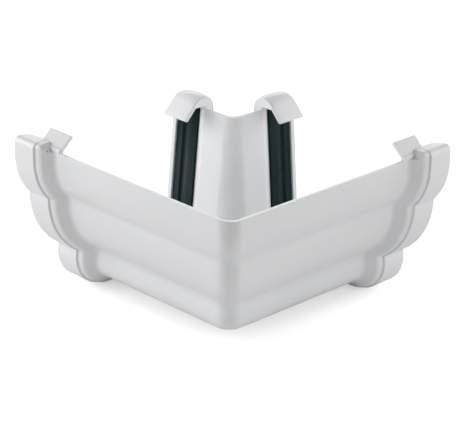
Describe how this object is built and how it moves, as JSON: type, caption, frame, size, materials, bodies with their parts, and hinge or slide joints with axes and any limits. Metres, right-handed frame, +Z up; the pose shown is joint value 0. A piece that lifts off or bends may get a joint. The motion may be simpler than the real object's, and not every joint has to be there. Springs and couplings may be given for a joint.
{
  "type": "gutter external angle",
  "caption": "White plastic ogee gutter corner for an outside wall corner, with a clipped, sealed socket on each arm.",
  "frame": {"origin": "the outside corner of the building, in both fascia planes, level with the sockets' lowest face", "axes": "+Z up, +X along the right arm out of its socket, +Y along the left arm out of its socket"},
  "size_m": [0.1656, 0.1656, 0.0989],
  "materials": {
    "moulding": "gloss",
    "seal": "matt, ribbed"
  },
  "bodies": {
    "root": {"angle_moulding": "moulding", "left_socket_seal": "seal", "right_socket_seal": "seal"}
  },
  "joints": []
}
